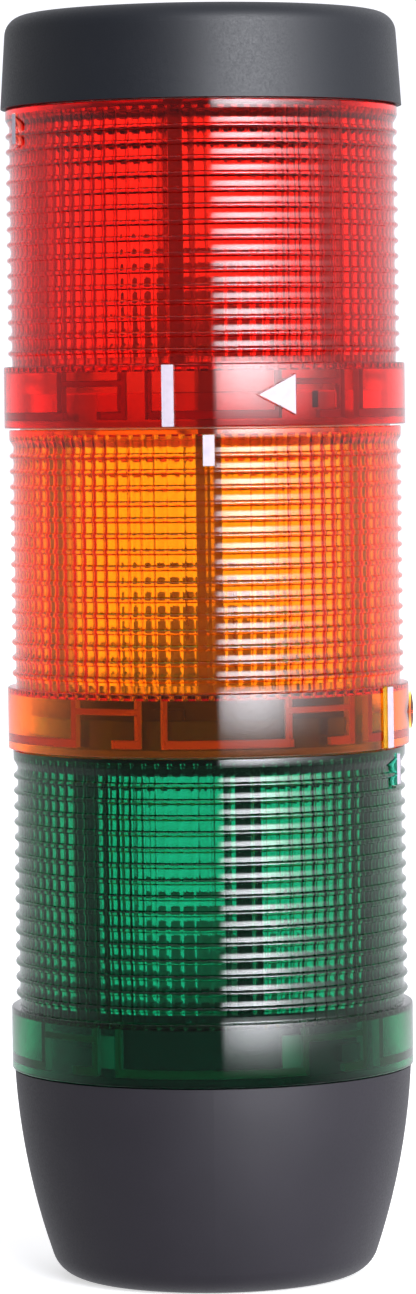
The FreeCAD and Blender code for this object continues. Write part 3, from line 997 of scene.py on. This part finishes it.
@dataclass
class ModuleInsides:
    """Carrier, contacts, socket, lamp and seal of one light module."""

    colour: Colour
    rails: int = 6

    def build(self, shop: Workshop) -> None:
        """Dress the carried-over pieces.

        Args:
            shop: where the finishes come from.
        """
        carrier = "dark_carrier" if self.colour is Colour.GREEN else "light_carrier"
        finishes = {
            "contact_carrier": carrier, "lamp_socket": "socket", "lamp_cap": "lamp_brass",
            "lamp_glass": "glass", "seal": "silicone",
        }
        finishes.update({f"contact_rail_{rail}": "brass" for rail in range(1, self.rails + 1)})
        for part, finish in finishes.items():
            shop.dress(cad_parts[f"{self.colour.value}_{part}"], finish)


@dataclass
class BaseUnit:
    """Base cup with its terminals and seals, and the cap shell."""

    terminals: int = 6

    def build(self, shop: Workshop) -> None:
        """Dress the carried-over pieces.

        Args:
            shop: where the finishes come from.
        """
        finishes = {
            "base_housing": "base", "base_gasket": "rubber", "base_seal": "rubber",
            "terminal_carrier": "terminal", "terminal_screws": "zinc", "cap_shell": "cap",
        }
        finishes.update({f"base_contact_{line}": "brass" for line in range(1, self.terminals + 1)})
        for node, finish in finishes.items():
            shop.dress(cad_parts[node], finish)


# ---------------------------------------------------------------- stage


@dataclass
class Studio:
    """Pale floor, a room that gives soft light, and the camera."""

    # camera, in millimetres and degrees
    distance: float = 928.4         # from the lens to the stack's axis
    eye_height: float = 152.3
    lens_mm: float = 147.9
    roll: float = 0.741
    side_step: float = 0.6
    shift: float = -0.1921          # keeps the level camera's view on the stack
    clip: Span = (0.05, 50.0)       # metres
    floor_half: float = 6.0         # metres
    light_colour: str = "F8F9FF"
    # radiance over the turn from the front towards +X, and over the rise from the horizon
    walls: Steps = (
        (-180, 0.9), (-150, 0.8), (-125, 0.5), (-95, 0.4), (-60, 0.14), (50, 0.14), (80, 0.5),
        (120, 0.9), (150, 1.1), (180, 0.9)
    )
    backdrop: Steps = (
        (-180, 2.5), (-110, 2.3), (-80, 1.1), (-50, 0.7), (50, 0.7), (80, 1.1), (110, 2.3),
        (180, 2.5)
    )
    ceiling: Steps = ((-90, 0.0), (35, 0.0), (60, 0.6), (90, 0.8))
    softbox_turn: Steps = (
        (-180, 0.0), (5, 0.0), (7, 6.5), (10, 10.0), (20, 15.0), (30, 15.5), (38, 12.5),
        (48, 6.5), (61, 2.8), (75, 1.0), (92, 0.0), (180, 0.0)
    )
    softbox_rise: Steps = (
        (-90, 0.0), (-13, 0.0), (-7, 0.17), (-3, 0.45), (0, 0.65), (7, 1.0), (28, 1.0),
        (48, 0.0), (90, 0.0)
    )
    seen: float = 1.15              # radiance of the backdrop straight to the eye

    def build(self, shop: Workshop) -> None:
        """Make the floor, the world and the camera.

        Args:
            shop: where the floor's finish comes from.
        """
        self.floor(shop)
        self.world()
        self.camera()
        scene = bpy.context.scene
        scene.view_settings.view_transform = "Standard"
        # a ray crosses many walls of the clear mouldings
        scene.cycles.max_bounces = 24
        scene.cycles.transmission_bounces = 20
        scene.cycles.glossy_bounces = 6
        scene.cycles.diffuse_bounces = 3

    def floor(self, shop: Workshop) -> None:
        """Make the plain matt floor at the height the base stands on.

        Args:
            shop: where its finish comes from.
        """
        half = self.floor_half
        corners = [(-half, -half, 0), (half, -half, 0), (half, half, 0), (-half, half, 0)]
        mesh = bpy.data.meshes.new("floor")
        mesh.from_pydata(corners, [], [(0, 1, 2, 3)])
        floor = bpy.data.objects.new("floor", mesh)
        bpy.context.collection.objects.link(floor)
        shop.dress(floor, "paper")
        # gloss and clear mouldings see the room on below the floor, as on a narrow table
        floor.visible_glossy = False
        floor.visible_transmission = False

    def world(self) -> None:
        """Make a bright backdrop, a dim room before the stack and a tall softbox to the right."""
        world = bpy.data.worlds.new("studio_room")
        bpy.context.scene.world = world
        world.use_nodes = True
        tree = world.node_tree
        tree.nodes.clear()
        way = add_node(tree, "ShaderNodeTexCoord", {})
        parts = add_node(tree, "ShaderNodeSeparateXYZ", {}, {0: way.outputs["Generated"]})
        to_front = add_node(
            tree, "ShaderNodeMath", {"operation": "MULTIPLY", 1: -1.0}, {0: parts.outputs["Y"]}
        )
        turn = add_node(
            tree, "ShaderNodeMath", {"operation": "ARCTAN2"},
            {0: parts.outputs["X"], 1: to_front.outputs[0]},
        ).outputs[0]
        rise = add_node(
            tree, "ShaderNodeMath", {"operation": "ARCSINE"}, {0: parts.outputs["Z"]}
        ).outputs[0]
        walls = self.lobe(tree, turn, self.walls)
        ceiling = self.lobe(tree, rise, self.ceiling)
        around = self.lobe(tree, turn, self.softbox_turn)
        upward = self.lobe(tree, rise, self.softbox_rise)
        box = add_node(tree, "ShaderNodeMath", {"operation": "MULTIPLY"}, {0: around, 1: upward})
        room = add_node(tree, "ShaderNodeMath", {"operation": "MAXIMUM"}, {0: walls, 1: ceiling})
        lit = add_node(
            tree, "ShaderNodeMath", {"operation": "ADD"}, {0: room.outputs[0], 1: box.outputs[0]}
        )
        # the pale backdrop shines through the clear mouldings, and the eye sees it all round
        glow = self.lobe(tree, turn, self.backdrop)
        ray = add_node(tree, "ShaderNodeLightPath", {})
        through = add_node(
            tree, "ShaderNodeMix", {"data_type": "FLOAT"},
            {MIX_SHARE: ray.outputs["Is Transmission Ray"], VALUE_A: lit.outputs[0],
             VALUE_B: glow},
        )
        total = add_node(
            tree, "ShaderNodeMix", {"data_type": "FLOAT", VALUE_B: self.seen},
            {MIX_SHARE: ray.outputs["Is Camera Ray"], VALUE_A: through.outputs[0]},
        )
        light = add_node(
            tree, "ShaderNodeBackground", {"Color": linear(self.light_colour)},
            {"Strength": total.outputs[0]},
        )
        add_node(tree, "ShaderNodeOutputWorld", {}, {"Surface": light.outputs[0]})

    @staticmethod
    def lobe(tree: bpy.types.NodeTree, angle: bpy.types.NodeSocket,
             steps: Steps) -> bpy.types.NodeSocket:
        """Radiance over an angle, through a row of steps.

        Args:
            tree: the world's node tree.
            angle: socket with the angle in radians.
            steps: the row, which reaches as far on both sides of 0.

        Returns:
            The socket with the radiance.
        """
        reach = steps[-1][0]
        highest = max(value for _, value in steps)
        share = add_node(
            tree, "ShaderNodeMapRange",
            {"From Min": -math.radians(reach), "From Max": math.radians(reach)},
            {"Value": angle},
        )
        ramp = add_node(tree, "ShaderNodeValToRGB", {}, {"Fac": share.outputs[0]})
        stops = ramp.color_ramp.elements
        for turn, _ in steps[1:-1]:
            stops.new((turn + reach) / (2 * reach))
        for stop, (turn, value) in zip(stops, steps):
            stop.position = (turn + reach) / (2 * reach)
            stop.color = (value / highest,) * 3 + (1.0,)
        scaled = add_node(
            tree, "ShaderNodeMath", {"operation": "MULTIPLY", 1: highest},
            {0: ramp.outputs["Color"]},
        )
        return scaled.outputs[0]

    def camera(self) -> None:
        """Place a level camera in front of the stack, shifted down to frame it."""
        data = bpy.data.cameras.new("camera")
        data.lens = self.lens_mm
        data.shift_y = self.shift
        data.clip_start, data.clip_end = self.clip
        camera = bpy.data.objects.new("camera", data)
        upright = Matrix.Rotation(math.radians(90), 4, "X")
        tilt = Matrix.Rotation(math.radians(self.roll), 4, "Y")
        place = Matrix.Translation(
            (self.side_step * MM, -self.distance * MM, self.eye_height * MM)
        )
        camera.matrix_world = place @ tilt @ upright
        bpy.context.collection.objects.link(camera)
        bpy.context.scene.camera = camera


def main() -> None:
    """Build the stack light's looks and its stage."""
    logging.basicConfig(level=logging.INFO, format="%(message)s")
    shop = Workshop()
    Studio().build(shop)
    BaseUnit().build(shop)
    for level, colour in enumerate(Colour):
        LensModule(colour, level).build(shop)
        ModuleInsides(colour).build(shop)


if __name__ == "__main__":
    main()
